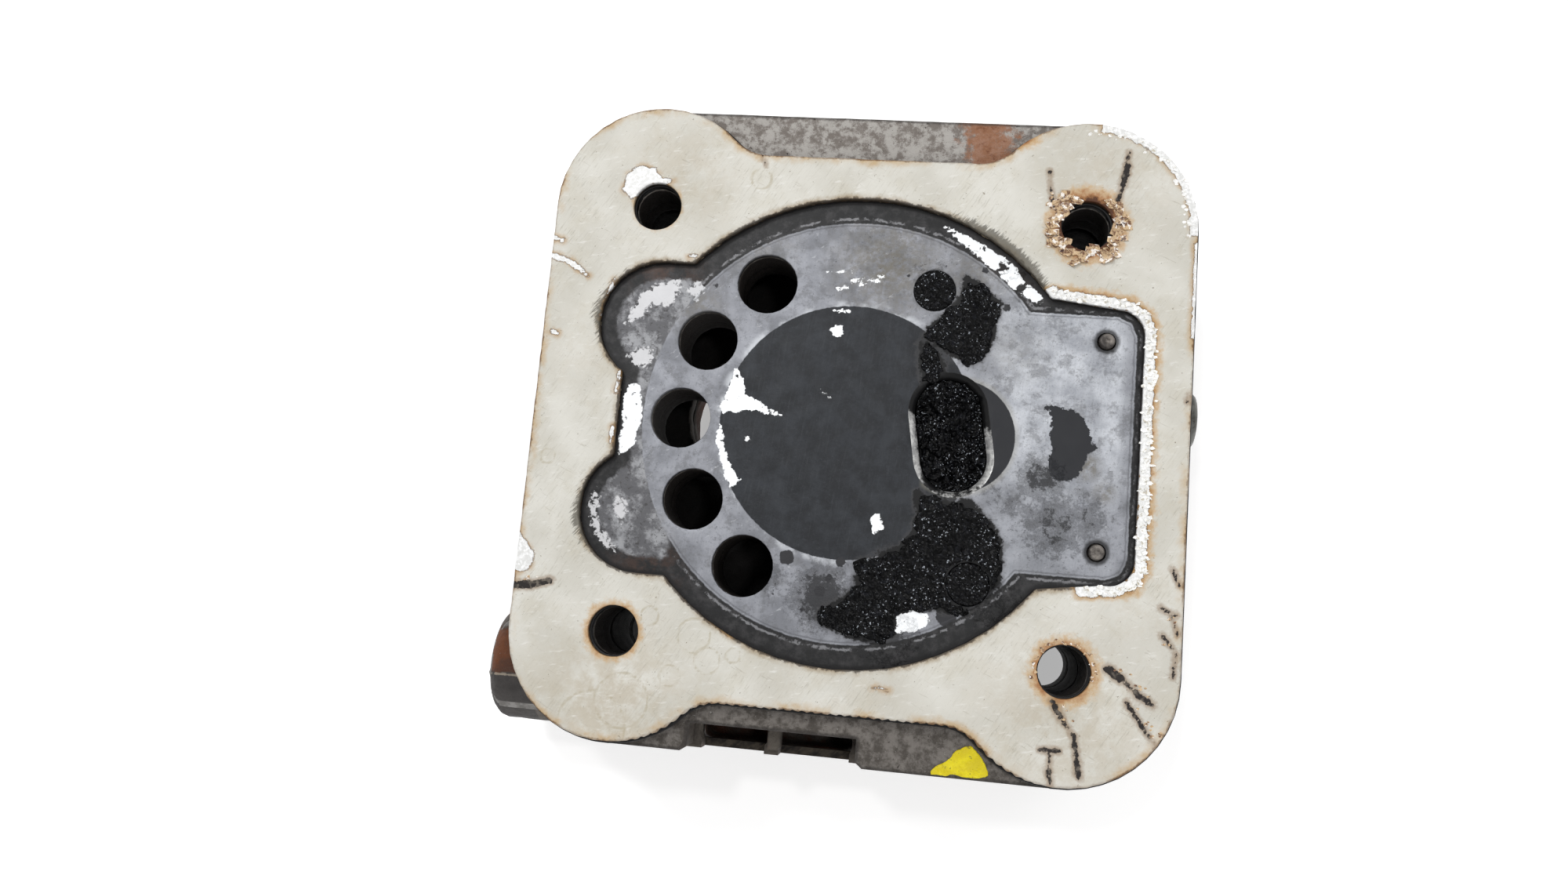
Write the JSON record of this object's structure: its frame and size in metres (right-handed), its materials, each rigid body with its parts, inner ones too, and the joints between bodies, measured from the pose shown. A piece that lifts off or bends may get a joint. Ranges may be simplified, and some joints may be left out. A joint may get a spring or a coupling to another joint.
{
  "type": "compressor cylinder head",
  "caption": "Square water-cooled compressor cylinder head with valve plate, round suction ports, discharge slot, coated face gasket and side coolant ports.",
  "frame": {"origin": "on the cylinder bore axis, in the machined face of the valve plate", "axes": "+Z out of the head towards the cylinder; +X towards the two reed pins; +Y away from the front ledge with the window"},
  "size_m": [0.1415, 0.1331, 0.0426],
  "materials": {
    "coated_gasket": "cream coating with rust stains and peeled edges",
    "machined_iron": "machined face with oil soot and carbon",
    "fibre_gasket": "dark fibre sheet",
    "cast_iron": "as cast, grey-brown with rust",
    "fastener_steel": "dulled steel",
    "spring_steel": "blued spring steel",
    "plug_steel": "plain grey steel",
    "copper": "tarnished copper"
  },
  "bodies": {
    "casting": {"block_gasket": "coated_gasket", "valve_plate": "machined_iron", "plate_gasket": "fibre_gasket", "head_body": "cast_iron", "cover_gasket": "fibre_gasket", "top_cover": "cast_iron", "reed_pin_upper": "fastener_steel", "reed_pin_lower": "fastener_steel", "discharge_stop": "fastener_steel", "stop_screw_upper": "fastener_steel", "stop_screw_lower": "fastener_steel", "stop_washer_upper": "fastener_steel", "stop_washer_lower": "fastener_steel", "cover_screw_1": "fastener_steel", "cover_screw_2": "fastener_steel", "cover_screw_3": "fastener_steel", "cover_screw_4": "fastener_steel", "cover_screw_5": "fastener_steel", "cover_screw_6": "fastener_steel", "cover_screw_7": "fastener_steel", "locating_dowel_left": "fastener_steel", "locating_dowel_right": "fastener_steel", "side_plug": "plug_steel", "side_plug_washer": "copper"},
    "reed": {"discharge_reed": "spring_steel"}
  },
  "joints": [
    {"name": "reed_lift", "type": "slide", "parent": "casting", "child": "reed", "axis": [0, 0, -1], "range_m": [0, 0.0017], "stiffness_N_per_m": 3000}
  ]
}
